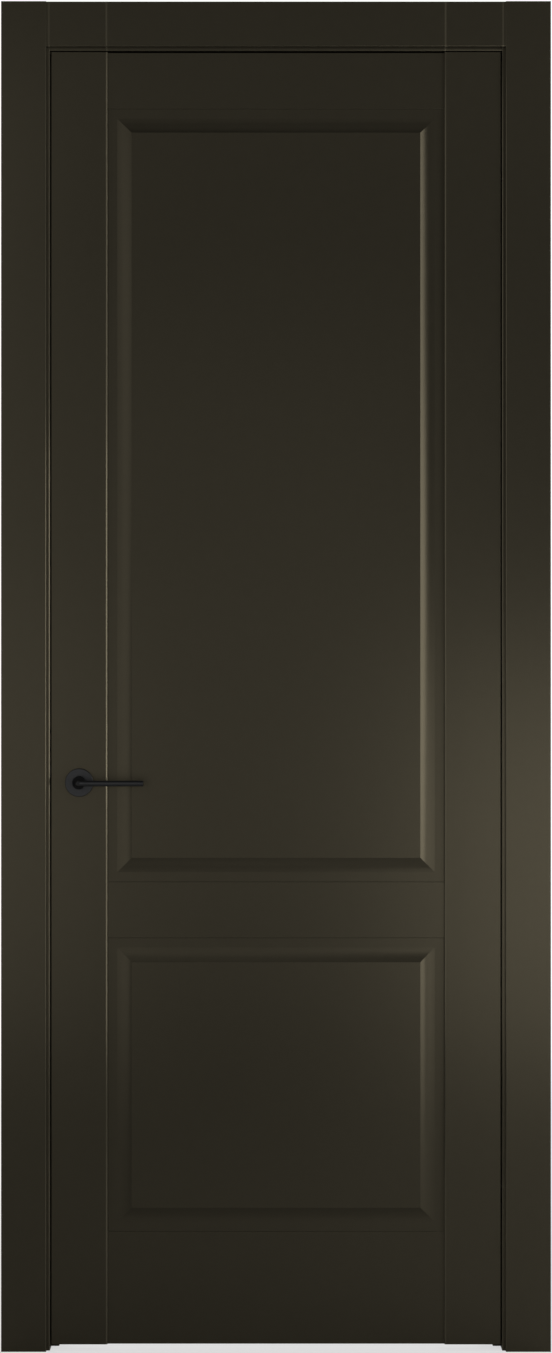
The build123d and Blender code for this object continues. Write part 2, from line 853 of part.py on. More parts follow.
def side_lining():
    """The right side lining: its stop ends under the head lining's stop."""
    rear = lining_rear + overrun
    head_room = block(0, rebate_x, stop_face - overrun, rear, stop_top, lining_top + overrun)
    return prism(lining_section(), 0, lining_top) - head_room


def casing_legs(inner, face, outward, top):
    return prism(casing_section(inner, face, outward), 0, top)


def casing_head(inner, inner_top, face, outward, reach):
    """The head casing between the legs, its tongue cut short at the lining's sides."""
    piece = level(casing_section(inner, face, outward), inner, inner_top - inner)
    end = inner + overrun
    top = inner_top + casing_width
    tip = face - outward * (tongue_length + overrun)
    for side in (-1, 1):
        x0, x1 = sorted((side * (reach - tongue_side_gap), side * end))
        piece -= block(x0, x1, min(face, tip), max(face, tip), inner_top, top)
    depth = casing_thickness + overrun
    return piece - block(-end, end, face - depth, face + depth, top - casing_head_drop, top + overrun)


def seal_section():
    """The plan of the right seal: a stem in the groove with a round nose to the leaf."""
    outer = rebate_x - seal_land - seal_side_gap
    inner = rebate_x - seal_land - seal_groove_width + seal_side_gap
    nose = half_thickness + seal_leaf_gap
    stem = rectangle(inner, outer, nose, stop_face + seal_groove_depth - seal_side_gap)
    return rounded_corners(stem, [(inner, nose), (outer, nose)], seal_nose_radius)


def head_seal():
    """The head seal, with a deeper fin that reaches the thinner top rail between the stiles."""
    drop = rebate_top - rebate_x
    base = level(seal_section(), rebate_x - seal_side_gap, drop)
    low = rebate_top - seal_land - seal_groove_width + seal_side_gap
    high = rebate_top - seal_land - seal_side_gap
    reach = stile_inner - seal_fin_end_gap
    return base + block(-reach, reach, rail_thickness / 2 + seal_leaf_gap, stop_face, low, high)


def lining_screws(grow):
    """The screws through the side linings into the head's ends, or with a growth their holes."""
    screws = []
    for side in (-1, 1):
        for y in (lining_front + 2 * lining_screw_inset, lining_rear - 2 * lining_screw_inset):
            face = (side * lining_outer, y, lining_top - lining_screw_inset)
            radius = lining_screw_radius + grow
            head = lining_screw_head_radius + grow
            height = lining_screw_head_height
            screws.append(screw(face, (-side, 0, 0), radius, lining_screw_length, head, height))
    return Compound(screws)


# The pieces, by node name


def leaf_pieces():
    bare_stile = stile_blank() - dowels(dowel_end_gap)
    hinge_stile = bare_stile
    for height in hinge_rises:
        hinge_stile -= at_hinge(turned(hinge_mortise()), height)
    lock_stile = mirrored(bare_stile) - latch_mortise()
    holes = dowels(dowel_end_gap)
    base = rose_base()
    cover = rose_cover()
    pieces = {
        "lock_stile": lock_stile,
        "hinge_stile": hinge_stile,
        "top_rail": rail(upper_opening_high, leaf_top, True, False) - holes,
        "mid_rail": rail(bottom_opening_high, upper_opening_low, True, True) - holes,
        "bottom_rail": rail(leaf_bottom, bottom_opening_low, False, True) - holes,
        "upper_panel": raised_panel(upper_opening_low, upper_opening_high),
        "lower_panel": raised_panel(bottom_opening_low, bottom_opening_high),
        "rail_dowels": dowels(0),
        "latch_case": latch_case(),
        "latch_cover": latch_cover(),
        "latch_forend": latch_forend(),
        "latch_spring": latch_spring(),
        "forend_screws": Compound([small_screw(face, (1, 0, 0), 0) for face in forend_screw_faces()]),
        "rose_bases": Compound([base, mirror(base, about=Plane.XZ)]),
        "rose_cover_front": cover,
        "rose_cover_rear": mirror(cover, about=Plane.XZ),
        "rose_bolts": rose_bolts(),
    }
    return pieces


def frame_pieces():
    holes = lining_screws(screw_gap)
    front_inner = rebate_x + reveal
    rear_inner = stop_x + reveal
    front_inner_top = rebate_top + reveal
    rear_inner_top = stop_top + reveal
    right = side_lining() - holes
    hinge_side = right
    for height in hinge_rises:
        hinge_side -= at_hinge(hinge_mortise(), height)
    lock_side = mirrored(side_lining()) - holes - strike_box_blank(screw_gap)
    lock_side -= face_plate(-rebate_x - strike_thickness, -rebate_x, strike_width, strike_height, handle_z)
    for point in strike_screw_faces():
        lock_side -= small_screw(point, (-1, 0, 0), screw_gap)
    front_leg = casing_legs(front_inner, lining_front, -1, front_inner_top + casing_width)
    rear_leg = casing_legs(rear_inner, lining_rear, 1, rear_inner_top + casing_width)
    seal = prism(seal_section(), 0, stop_top)
    return {
        "lining_hinge_side": hinge_side,
        "lining_lock_side": lock_side,
        "lining_head": head_lining() - holes,
        "lining_screws": lining_screws(0),
        "casing_front_right": front_leg,
        "casing_front_left": mirrored(front_leg),
        "casing_front_head": casing_head(front_inner, front_inner_top, lining_front, -1, rebate_x),
        "casing_rear_right": rear_leg,
        "casing_rear_left": mirrored(rear_leg),
        "casing_rear_head": casing_head(rear_inner, rear_inner_top, lining_rear, 1, rebate_x),
        "seal_hinge_side": seal,
        "seal_lock_side": mirrored(seal),
        "seal_head": head_seal(),
        "strike_plate": strike_plate(),
        "strike_box": strike_box(),
        "strike_screws": Compound([small_screw(point, (-1, 0, 0), 0) for point in strike_screw_faces()]),
    }


def handle_pieces():
    front = lever()
    return {
        "lever_front": front,
        "lever_rear": mirror(front, about=Plane.XZ),
        "spindle": spindle_bar(spindle_size - spindle_gap, half_spindle()),
        "follower": follower(),
        "grub_screws": grub_screws(),
        "latch_bolt": latch_bolt(),
    }


def hinge_pieces():
    frame_arm = arm(True)
    leaf_arm = turned(arm(False))
    frame_link = link()
    housing = hinge_housing()
    screws = hinge_screws(0)
    pieces = {}
    for number, height in enumerate(hinge_rises, 1):
        pieces[f"hinge_{number}_frame_housing"] = at_hinge(housing, height)
        pieces[f"hinge_{number}_leaf_housing"] = at_hinge(turned(housing), height)
        pieces[f"hinge_{number}_frame_arm"] = at_hinge(frame_arm, height)
        pieces[f"hinge_{number}_leaf_arm"] = at_hinge(leaf_arm, height)
        pieces[f"hinge_{number}_frame_link"] = at_hinge(frame_link, height)
        pieces[f"hinge_{number}_leaf_link"] = at_hinge(turned(frame_link), height)
    pieces["hinge_frame_screws"] = Compound([at_hinge(screws, height) for height in hinge_rises])
    pieces["hinge_leaf_screws"] = Compound([at_hinge(turned(screws), height) for height in hinge_rises])
    return pieces


def main():
    os.makedirs("parts", exist_ok=True)
    pieces = {**leaf_pieces(), **frame_pieces(), **handle_pieces(), **hinge_pieces()}
    for name, solid in pieces.items():
        export_step(solid, f"parts/{name}.step")


main()
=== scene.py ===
import math

import bmesh
import bpy
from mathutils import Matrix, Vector


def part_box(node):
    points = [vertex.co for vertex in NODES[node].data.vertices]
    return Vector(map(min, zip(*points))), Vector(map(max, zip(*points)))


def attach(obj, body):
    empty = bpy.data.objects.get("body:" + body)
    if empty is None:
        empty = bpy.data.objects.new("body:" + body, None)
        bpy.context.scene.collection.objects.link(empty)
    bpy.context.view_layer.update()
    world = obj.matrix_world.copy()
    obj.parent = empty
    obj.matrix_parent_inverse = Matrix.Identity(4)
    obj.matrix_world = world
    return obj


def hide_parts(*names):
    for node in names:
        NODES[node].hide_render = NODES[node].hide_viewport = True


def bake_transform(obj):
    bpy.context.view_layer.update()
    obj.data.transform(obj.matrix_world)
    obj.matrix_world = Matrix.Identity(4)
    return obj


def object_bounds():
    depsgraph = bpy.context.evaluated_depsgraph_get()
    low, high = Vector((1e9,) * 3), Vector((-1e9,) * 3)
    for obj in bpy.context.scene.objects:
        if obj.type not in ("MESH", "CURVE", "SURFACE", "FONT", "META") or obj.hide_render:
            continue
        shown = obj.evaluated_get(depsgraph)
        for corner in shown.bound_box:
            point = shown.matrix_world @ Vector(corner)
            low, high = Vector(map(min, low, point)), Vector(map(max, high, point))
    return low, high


bl_info = {
    "name": "Panelled interior door",
    "version": (1, 0, 0),
    "blender": (4, 5, 0),
    "location": "View3D > Sidebar > Door",
    "description": "Finishes a panelled door with its frame, handle, latch and concealed hinges",
    "category": "Object",
}

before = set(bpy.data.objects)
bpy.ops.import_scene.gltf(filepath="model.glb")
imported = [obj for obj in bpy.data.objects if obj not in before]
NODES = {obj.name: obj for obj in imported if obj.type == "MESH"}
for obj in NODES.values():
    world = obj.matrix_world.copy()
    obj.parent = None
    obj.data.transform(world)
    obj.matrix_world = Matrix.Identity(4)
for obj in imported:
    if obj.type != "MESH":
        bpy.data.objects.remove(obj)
CAD_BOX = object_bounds()
MM = 0.001

# The photograph's height and the door's height in it, in pixels, and the width of the camera's sensor
IMAGE_HEIGHT_PX = 1353
DOOR_HEIGHT_PX = 1350.7
SENSOR_MM = 36.0

# The upright edges that are bevelled, on both sides of the doorway, glossier and painted paler as a painted
# highlight: distance from its middle, and half the width
CASING_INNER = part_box("casing_front_right")[0][0]
STILE_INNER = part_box("hinge_stile")[0][0]
ARRISES = (
    (CASING_INNER + 0.55 * MM, 0.6 * MM),
    (CASING_INNER - 5.1 * MM, 1.0 * MM),
    (STILE_INNER + 1.3 * MM, 1.5 * MM),
)

# The lever's neck next to the rose, made near black as painted shade at the lever's root: its length in front of the
# rose, its end in depth, and its right side
NECK_SHADE_LENGTH = 15.5 * MM
NECK_SHADE_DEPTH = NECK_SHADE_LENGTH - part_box("rose_cover_front")[0][1]
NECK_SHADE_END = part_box("rose_cover_front")[1][0]

# The nodes by finish
LEAF_LACQUERED = ("lock_stile", "hinge_stile", "top_rail", "mid_rail", "bottom_rail", "upper_panel", "lower_panel")
LININGS = ("lining_hinge_side", "lining_lock_side", "lining_head")
CASINGS = tuple(name for name in NODES if name.startswith("casing"))
ROSES = ("rose_cover_front", "rose_cover_rear")
LEVERS = ("lever_front", "lever_rear")
SEALS = tuple(name for name in NODES if name.startswith("seal_"))
HOUSINGS = tuple(name for name in NODES if name.endswith("_housing"))
ARMS = tuple(name for name in NODES if name.startswith("hinge_") and name.endswith(("_arm", "_link")))
PLATES = ("latch_forend", "strike_plate", "latch_bolt")
STAMPED = ("latch_case", "latch_cover", "strike_box", "rose_bases", "follower", "spindle", "rose_bolts")

# The widths of the patterns in the finishes, and the heights of the two that are raised, in millimetres
TONE_DRIFT = 350
FLAKE_CLOUD = 16
WIPED_PATCH = 120
RIPPLE_HEIGHT = 0.012
POWDER_GRAIN = 0.35
POWDER_HEIGHT = 0.03
NECK_MOTTLE = 0.6
DRAW_LINE = 0.4
BEECH_FLECK = 0.8
FLOOR_MOTTLE = 500

# The screws by node: body, kind of recess, and whether the finish is black
SCREWS = (
    ("hinge_frame_screws", "frame", "cross", False),
    ("hinge_leaf_screws", "leaf", "cross", False),
    ("lining_screws", "frame", "cross", False),
    ("forend_screws", "leaf", "cross", True),
    ("strike_screws", "frame", "cross", True),
    ("grub_screws", "handle", "hexagon", False),
)

# The thread's depth, the head's flat and the recess, as shares of the radius where no unit is given
THREAD_PITCH = 1.8 * MM
THREAD_DEPTH = 0.24
HEAD_LAND = 0.96
HEAD_CHAMFER = 0.12 * MM
RECESS_DEPTH = 0.36
RECESS_TAPER = 0.7
HEXAGON_REACH = 0.56
CROSS_REACH = 0.58
CROSS_HALF_WIDTH = 0.13
WELD = 0.005 * MM
STEPS_PER_TURN = 4
SCREW_SEGMENTS = 20
CIRCLE = [
    (math.cos(2 * math.pi * i / SCREW_SEGMENTS), math.sin(2 * math.pi * i / SCREW_SEGMENTS))
    for i in range(SCREW_SEGMENTS)
]

# The lamps, in metres: azimuth from the front towards the right in degrees, distance, height, width and tallness
LAMPS = {
    "right_high": (56, 2.2, 2.3, 0.95, 1.0),
    "right_middle": (50, 2.2, 1.35, 0.85, 0.9),
    "right_low": (51, 2.2, 0.62, 0.7, 0.7),
    "patch": (23, 2.2, 0.75, 1.0, 0.95),
    "left_high": (-38, 2.2, 2.05, 1.7, 1.3),
    "left_low": (-33, 2.2, 0.85, 1.7, 1.1),
    "front_low": (0, 2.6, 1.3, 1.2, 1.8),
    "front_high": (0, 2.6, 2.8, 2.4, 0.7),
    "rear_right": (140, 3.0, 1.5, 1.3, 2.2),
    "rear_left": (-150, 3.0, 1.5, 1.6, 2.2),
}
OVERHEAD_PLACE = (0, -1.7, 3.4)
OVERHEAD_SIZE = (1.2, 1.5)

# The floor: half its width, and how white it is to the camera, near the door and further off, in metres
FLOOR_REACH = 15.0
FLOOR_NEAR, FLOOR_FAR = 1.2, 4.5
WHITE_NEAR, WHITE_FAR = 0.62, 1.0
SHEETS_EDGE = 0.2


def linear(hex_colour):
    """An sRGB hex colour as linear red, green and blue."""
    channels = [int(hex_colour[i : i + 2], 16) / 255 for i in (0, 2, 4)]
    return tuple(c / 12.92 if c <= 0.04045 else ((c + 0.055) / 1.055) ** 2.4 for c in channels)


def rgba(tone, share=1.0):
    """A share of a linear colour, opaque."""
    return (*(Vector(tone) * share), 1)


def per_metre(width_mm):
    """The scale of a pattern that is so many millimetres wide."""
    return 1 / (width_mm * MM)


def colour_property(name, description, hex_colour):
    """A colour that the user picks, with its default given as an sRGB hex value."""
    return bpy.props.FloatVectorProperty(
        name=name, description=description, subtype="COLOR", size=3, min=0, max=1, default=linear(hex_colour)
    )


def share_property(name, description, share):
    """A value between 0 and 1."""
    return bpy.props.FloatProperty(
        name=name, description=description, subtype="FACTOR", default=share, min=0, max=1
    )


def power_property(name, description, watts):
    """The power of a lamp."""
    return bpy.props.FloatProperty(name=name, description=description, default=watts, min=0, unit="POWER")


class DoorLacquerSettings(bpy.types.PropertyGroup):
    """The coat of leaf, linings and casings."""

    tone: colour_property("Tone", "Body colour of the lacquer", "1F1D17")
    pearl: colour_property("Pearl", "Tint that the pearl pigment gives to reflections", "FFF0CA")
    roughness: share_property("Roughness", "Satin of the coat", 0.285)
    arris_roughness: share_property("Arris roughness", "Gloss of the upright edges, which the cloth polishes", 0.15)
    # Painted highlight: how many times paler the lacquer's tone is painted along the upright edges
    painted_highlight: bpy.props.FloatProperty(name="Highlight", description="How much paler the upright edges are", default=3.0, min=1)
    peel: bpy.props.FloatProperty(
        name="Orange peel", description="Width of the ripples in the sprayed coat", default=11 * MM, unit="LENGTH"
    )


class DoorMetalSettings(bpy.types.PropertyGroup):
    """The metals of handle, latch and hinges."""

    handle: colour_property("Handle", "Powder coat of the lever and the rose", "0E0F11")
    cast: colour_property("Cast", "Satin plating on the die-cast hinge housings", "8C8C8A")
    plated: colour_property("Plated", "Zinc plating on screws and stamped steel", "B4B3AC")


class DoorStageSettings(bpy.types.PropertyGroup):
    """Floor, lamps and camera."""

    distance: bpy.props.FloatProperty(
        name="Camera distance", description="From the casings to the camera", default=5.8, unit="LENGTH"
    )
    ambient: bpy.props.FloatProperty(name="Ambient", description="Strength of the even light all round", default=0.06)
    right_high: power_property("Right high", "Soft box on the right, beside the top", 10.8)
    right_middle: power_property("Right middle", "Soft box on the right, beside the middle", 10.8)
    right_low: power_property("Right low", "Soft box on the right, beside the bottom", 5.8)
    patch: power_property("Patch", "Soft box on the right of the camera, low down", 5.8)
    left_high: power_property("Left high", "Soft box on the left, beside the top", 5.8)
    left_low: power_property("Left low", "Soft box on the left, beside the bottom", 5.6)
    front_low: power_property("Front low", "Soft box in front", 2.7)
    front_high: power_property("Front high", "Soft box in front, above the camera", 1.9)
    rear_right: power_property("Rear right", "Soft box behind, on the right", 45)
    rear_left: power_property("Rear left", "Soft box behind, on the left", 35)
    overhead: power_property("Overhead", "Soft box above", 1.2)


def new_material(name):
    """A node material, with its tree and its shader."""
    material = bpy.data.materials.new(name)
    material.use_nodes = True
    return material, material.node_tree, material.node_tree.nodes["Principled BSDF"]


def add_node(tree, kind, settings=None, links=None):
    """A node with its sockets and attributes set, and its inputs linked."""
    node = tree.nodes.new(kind)
    for key, value in (settings or {}).items():
        if isinstance(key, str) and hasattr(node, key):
            setattr(node, key, value)
        else:
            node.inputs[key].default_value = value
    for key, source in (links or {}).items():
        tree.links.new(source, node.inputs[key])
    return node


def wear(node_name, material):
    """The CAD node takes this material alone."""
    mesh = NODES[node_name].data
    mesh.materials.clear()
    mesh.materials.append(material)


def add_piece(name, mesh, *materials):
    """An object in the scene for a mesh that wears these materials."""
    mesh.name = name
    mesh.materials.clear()
    for material in materials:
        mesh.materials.append(material)
    piece = bpy.data.objects.new(name, mesh)
    bpy.context.scene.collection.objects.link(piece)
    return piece


def satin_pearl_lacquer():
    """
    Acid-cured lacquer with bronze pearl pigment, sprayed in two coats. It is smooth and satin, a cloth has polished
    its upright edges to a gloss, their paler tone is a painted highlight, and the spray leaves long shallow ripples.
    The pearl flakes and the ripples between the long ones are too fine to show, so flakes are drawn as clouds of them
    and the ripples at their longest.
    """
    settings = bpy.context.scene.door_lacquer
    material, tree, shader = new_material("satin_pearl_lacquer")
    coords = add_node(tree, "ShaderNodeTexCoord")
    place = coords.outputs["Object"]
    drift = add_node(
        tree,
        "ShaderNodeTexNoise",
        {"Scale": per_metre(TONE_DRIFT), "Detail": 2.0, "Roughness": 0.5},
        {"Vector": place},
    )
    tint = add_node(
        tree,
        "ShaderNodeMix",
        {"data_type": "RGBA", "A": rgba(settings.tone, 0.94), "B": rgba(settings.tone, 1.06)},
        {"Factor": drift.outputs["Fac"]},
    )
    flake = add_node(tree, "ShaderNodeTexNoise", {"Scale": per_metre(FLAKE_CLOUD), "Detail": 1.0}, {"Vector": place})
    speck = add_node(
        tree,
        "ShaderNodeMapRange",
        {"From Min": 0.35, "From Max": 0.65, "To Min": 0.95, "To Max": 1.05},
        {"Value": flake.outputs["Fac"]},
    )
    pigment = add_node(
        tree,
        "ShaderNodeVectorMath",
        {"operation": "SCALE"},
        {"Vector": tint.outputs["Result"], "Scale": speck.outputs["Result"]},
    )
    way = add_node(tree, "ShaderNodeSeparateXYZ", {}, {"Vector": place})
    side = add_node(tree, "ShaderNodeMath", {"operation": "ABSOLUTE"}, {0: way.outputs["X"]})
    # The upright edges: the mask that makes them glossier and paints them paler, a painted highlight
    arris_highlight_and_gloss = None
    for middle, reach in ARRISES:
        near = add_node(
            tree, "ShaderNodeMath", {"operation": "COMPARE", 1: middle, 2: reach}, {0: side.outputs["Value"]}
        )
        if arris_highlight_and_gloss:
            near = add_node(
                tree,
                "ShaderNodeMath",
                {"operation": "MAXIMUM"},
                {0: near.outputs["Value"], 1: arris_highlight_and_gloss.outputs["Value"]},
            )
        arris_highlight_and_gloss = near
    # Painted highlight: the lacquer's tone is made paler along the upright edges
    paler = add_node(
        tree,
        "ShaderNodeMix",
        {"data_type": "RGBA", "B": rgba(settings.tone, settings.painted_highlight)},
        {"Factor": arris_highlight_and_gloss.outputs["Value"], "A": pigment.outputs["Vector"]},
    )
    tree.links.new(paler.outputs["Result"], shader.inputs["Base Color"])
    wiped = add_node(tree, "ShaderNodeTexNoise", {"Scale": per_metre(WIPED_PATCH), "Detail": 3.0}, {"Vector": place})
    gloss = add_node(
        tree,
        "ShaderNodeMapRange",
        {"To Min": settings.roughness - 0.01, "To Max": settings.roughness + 0.01},
        {"Value": wiped.outputs["Fac"]},
    )
    burnished = add_node(
        tree,
        "ShaderNodeMix",
        {"data_type": "FLOAT", "B": settings.arris_roughness},
        {"Factor": arris_highlight_and_gloss.outputs["Value"], "A": gloss.outputs["Result"]},
    )
    tree.links.new(burnished.outputs["Result"], shader.inputs["Roughness"])
    peel = add_node(tree, "ShaderNodeTexNoise", {"Scale": 1 / settings.peel, "Detail": 1.0}, {"Vector": place})
    bump = add_node(
        tree, "ShaderNodeBump", {"Strength": 1.0, "Distance": RIPPLE_HEIGHT * MM}, {"Height": peel.outputs["Fac"]}
    )
    tree.links.new(bump.outputs["Normal"], shader.inputs["Normal"])
    shader.inputs["Specular Tint"].default_value = rgba(settings.pearl)
    return material


def powder_coated_zinc():
    """Die-cast zinc under a fine matt powder coat: near black with a soft sheen and a faint grain."""
    tone = bpy.context.scene.door_metal.handle
    material, tree, shader = new_material("powder_coated_zinc")
    place = add_node(tree, "ShaderNodeTexCoord")
    grain = add_node(
        tree,
        "ShaderNodeTexNoise",
        {"Scale": per_metre(POWDER_GRAIN), "Detail": 2.0},
        {"Vector": place.outputs["Object"]},
    )
    tint = add_node(
        tree,
        "ShaderNodeMix",
        {"data_type": "RGBA", "A": rgba(tone, 0.85), "B": rgba(tone, 1.15)},
        {"Factor": grain.outputs["Fac"]},
    )
    tree.links.new(tint.outputs["Result"], shader.inputs["Base Color"])
    bump = add_node(
        tree, "ShaderNodeBump", {"Strength": 0.25, "Distance": POWDER_HEIGHT * MM}, {"Height": grain.outputs["Fac"]}
    )
    tree.links.new(bump.outputs["Normal"], shader.inputs["Normal"])
    shader.inputs["Roughness"].default_value = 0.34
    shader.inputs["Specular IOR Level"].default_value = 0.42
    return material


def painted_neck_shade_coat():
    """Near black and matt on the lever's neck next to the rose, a painted shade at the lever's root, with a faint
    mottle.
    """
    material, tree, shader = new_material("moulded_nylon_sleeve")
    place = add_node(tree, "ShaderNodeTexCoord")
    neck_mottle = add_node(
        tree,
        "ShaderNodeTexNoise",
        {"Scale": per_metre(NECK_MOTTLE), "Detail": 3.0},
        {"Vector": place.outputs["Object"]},
    )
    tint = add_node(
        tree,
        "ShaderNodeMix",
        {"data_type": "RGBA", "A": rgba(linear("060606")), "B": rgba(linear("0C0C0D"))},
        {"Factor": neck_mottle.outputs["Fac"]},
    )
    tree.links.new(tint.outputs["Result"], shader.inputs["Base Color"])
    shader.inputs["Roughness"].default_value = 0.7
    shader.inputs["Specular IOR Level"].default_value = 0.12
    return material


def plated_metal(name, tone, roughness, grain_mm, stretch):
    """A plated metal with a grain of a real width, drawn out along one direction by the stretch."""
    material, tree, shader = new_material(name)
    place = add_node(tree, "ShaderNodeTexCoord")
    drawn = add_node(tree, "ShaderNodeMapping", {"Scale": stretch}, {"Vector": place.outputs["Object"]})
    grain = add_node(
        tree,
        "ShaderNodeTexNoise",
        {"Scale": per_metre(grain_mm), "Detail": 3.0},
        {"Vector": drawn.outputs["Vector"]},
    )
    tint = add_node(
        tree,
        "ShaderNodeMix",
        {"data_type": "RGBA", "A": rgba(tone, 0.86), "B": rgba(tone, 1.1)},
        {"Factor": grain.outputs["Fac"]},
    )
    tree.links.new(tint.outputs["Result"], shader.inputs["Base Color"])
    gloss = add_node(
        tree,
        "ShaderNodeMapRange",
        {"To Min": roughness - 0.04, "To Max": roughness + 0.04},
        {"Value": grain.outputs["Fac"]},
    )
    tree.links.new(gloss.outputs["Result"], shader.inputs["Roughness"])
    shader.inputs["Metallic"].default_value = 1.0
    return material


def extruded_seal_rubber():
    """Extruded TPE: matt near-black with faint draw lines along its length."""
    material, tree, shader = new_material("extruded_seal_rubber")
    place = add_node(tree, "ShaderNodeTexCoord")
    drawn = add_node(tree, "ShaderNodeMapping", {"Scale": (1, 1, 0.02)}, {"Vector": place.outputs["Object"]})
    lines = add_node(
        tree, "ShaderNodeTexNoise", {"Scale": per_metre(DRAW_LINE)}, {"Vector": drawn.outputs["Vector"]}
    )
    tint = add_node(
        tree,
        "ShaderNodeMix",
        {"data_type": "RGBA", "A": rgba(linear("151515")), "B": rgba(linear("242423"))},
        {"Factor": lines.outputs["Fac"]},
    )
    tree.links.new(tint.outputs["Result"], shader.inputs["Base Color"])
    shader.inputs["Roughness"].default_value = 0.65
    return material


def turned_beech():
    """Fluted beech dowel stock: pale, with short dark flecks along the grain."""
    material, tree, shader = new_material("turned_beech")
    place = add_node(tree, "ShaderNodeTexCoord")
    drawn = add_node(tree, "ShaderNodeMapping", {"Scale": (0.12, 1, 1)}, {"Vector": place.outputs["Object"]})
    flecks = add_node(
        tree,
        "ShaderNodeTexNoise",
        {"Scale": per_metre(BEECH_FLECK), "Detail": 4.0},
        {"Vector": drawn.outputs["Vector"]},
    )
    tint = add_node(
        tree,
        "ShaderNodeMix",
        {"data_type": "RGBA", "A": rgba(linear("A9835B")), "B": rgba(linear("D8B68A"))},
        {"Factor": flecks.outputs["Fac"]},
    )
    tree.links.new(tint.outputs["Result"], shader.inputs["Base Color"])
    shader.inputs["Roughness"].default_value = 0.6
    return material


def lever_with_painted_neck_shade(node_name, coat, neck_shade):
    """The lever with its neck in painted shade: the drum of the solid between the rose and the grip wears the second,
    near-black material.
    """
    mesh = NODES[node_name].data.copy()
    piece = add_piece(f"sleeved_{node_name}", mesh, coat, neck_shade)
    # The neck's faces take the near-black coat, painted shade at the lever's root
    for face in mesh.polygons:
        if abs(face.center.y) < NECK_SHADE_DEPTH and face.center.x < NECK_SHADE_END:
            face.material_index = 1
    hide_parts(node_name)
    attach(piece, "handle")


def compressing_spring(material):
    """The latch's coil spring, which the bolt shortens against the back of the case as it draws in, copied as a fixed
    piece in the CAD node's place.
    """
    piece = add_piece("compressing_latch_spring", NODES["latch_spring"].data.copy(), material)
    low, high = (Vector(corner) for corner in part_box("latch_spring"))
    bolt_end, case_end = (low + high) / 2, (low + high) / 2
    bolt_end.x, case_end.x = low.x, high.x
    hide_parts("latch_spring")
    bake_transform(piece)


def separate_solids(node_name):
    """The corner points of each separate solid of a CAD node."""
    build = bmesh.new()
    build.from_mesh(NODES[node_name].data)
    bmesh.ops.remove_doubles(build, verts=build.verts, dist=WELD)
    waiting = set(build.verts)
    solids = []
    while waiting:
        found = [waiting.pop()]
        for corner in found:
            for edge in corner.link_edges:
                other = edge.other_vert(corner)
                if other in waiting:
                    waiting.discard(other)
                    found.append(other)
        solids.append([corner.co.copy() for corner in found])
    build.free()
    return solids


def screw_profile(points):
    """A screw's head centre, its direction, and its (depth, radius) stations from the head to the point."""
    low = Vector([min(point[i] for point in points) for i in range(3)])
    high = Vector([max(point[i] for point in points) for i in range(3)])
    along = max(range(3), key=lambda i: high[i] - low[i])
    middle = (low + high) / 2
    stations = {}
    for point in points:
        depth = round((point[along] - low[along]) / WELD) * WELD
        off = point - middle
        off[along] = 0
        stations[depth] = max(stations.get(depth, 0), off.length)
    stations = sorted(stations.items())
    way = Vector((0, 0, 0))
    way[along] = 1
    head = middle.copy()
    head[along] = low[along]
    if stations[-1][1] > stations[0][1] + WELD:
        length = stations[-1][0]
        stations = [(length - depth, radius) for depth, radius in reversed(stations)]
        way[along] = -1
        head[along] = high[along]
    return head, way, stations


def radius_at(stations, depth):
    """The radius at a depth, on straight lines between the stations."""
    for (d0, r0), (d1, r1) in zip(stations, stations[1:]):
        if depth <= d1:
            return r0 + (r1 - r0) * (depth - d0) / (d1 - d0)
    return stations[-1][1]


def recess_outline(kind, radius):
    """The outline of the driver's recess in a screw's head."""
    if kind == "hexagon":
        reach = HEXAGON_REACH * radius
        corners = [math.radians(60 * i) for i in range(6)]
        return [(reach * math.cos(a), reach * math.sin(a)) for a in corners]
    reach, half = CROSS_REACH * radius, CROSS_HALF_WIDTH * radius
    arm = [(reach, -half), (reach, half), (half, half)]
    outline = []
    for quarter in range(4):
        c, s = round(math.cos(math.pi / 2 * quarter)), round(math.sin(math.pi / 2 * quarter))
        outline += [(x * c - y * s, x * s + y * c) for x, y in arm]
    return outline


def add_ring(build, place, points):
    """Corner points in a closed row, and the edges between them."""
    row = [build.verts.new(place(*point)) for point in points]
    edges = [build.edges.new((a, b)) for a, b in zip(row, row[1:] + row[:1])]
    return row, edges


def add_band(build, upper, lower):
    """The faces between two rows of as many points."""
    count = len(upper)
    faces = []
    for i in range(count):
        j = (i + 1) % count
        faces.append(build.faces.new((upper[i], upper[j], lower[j], lower[i])))
    return faces


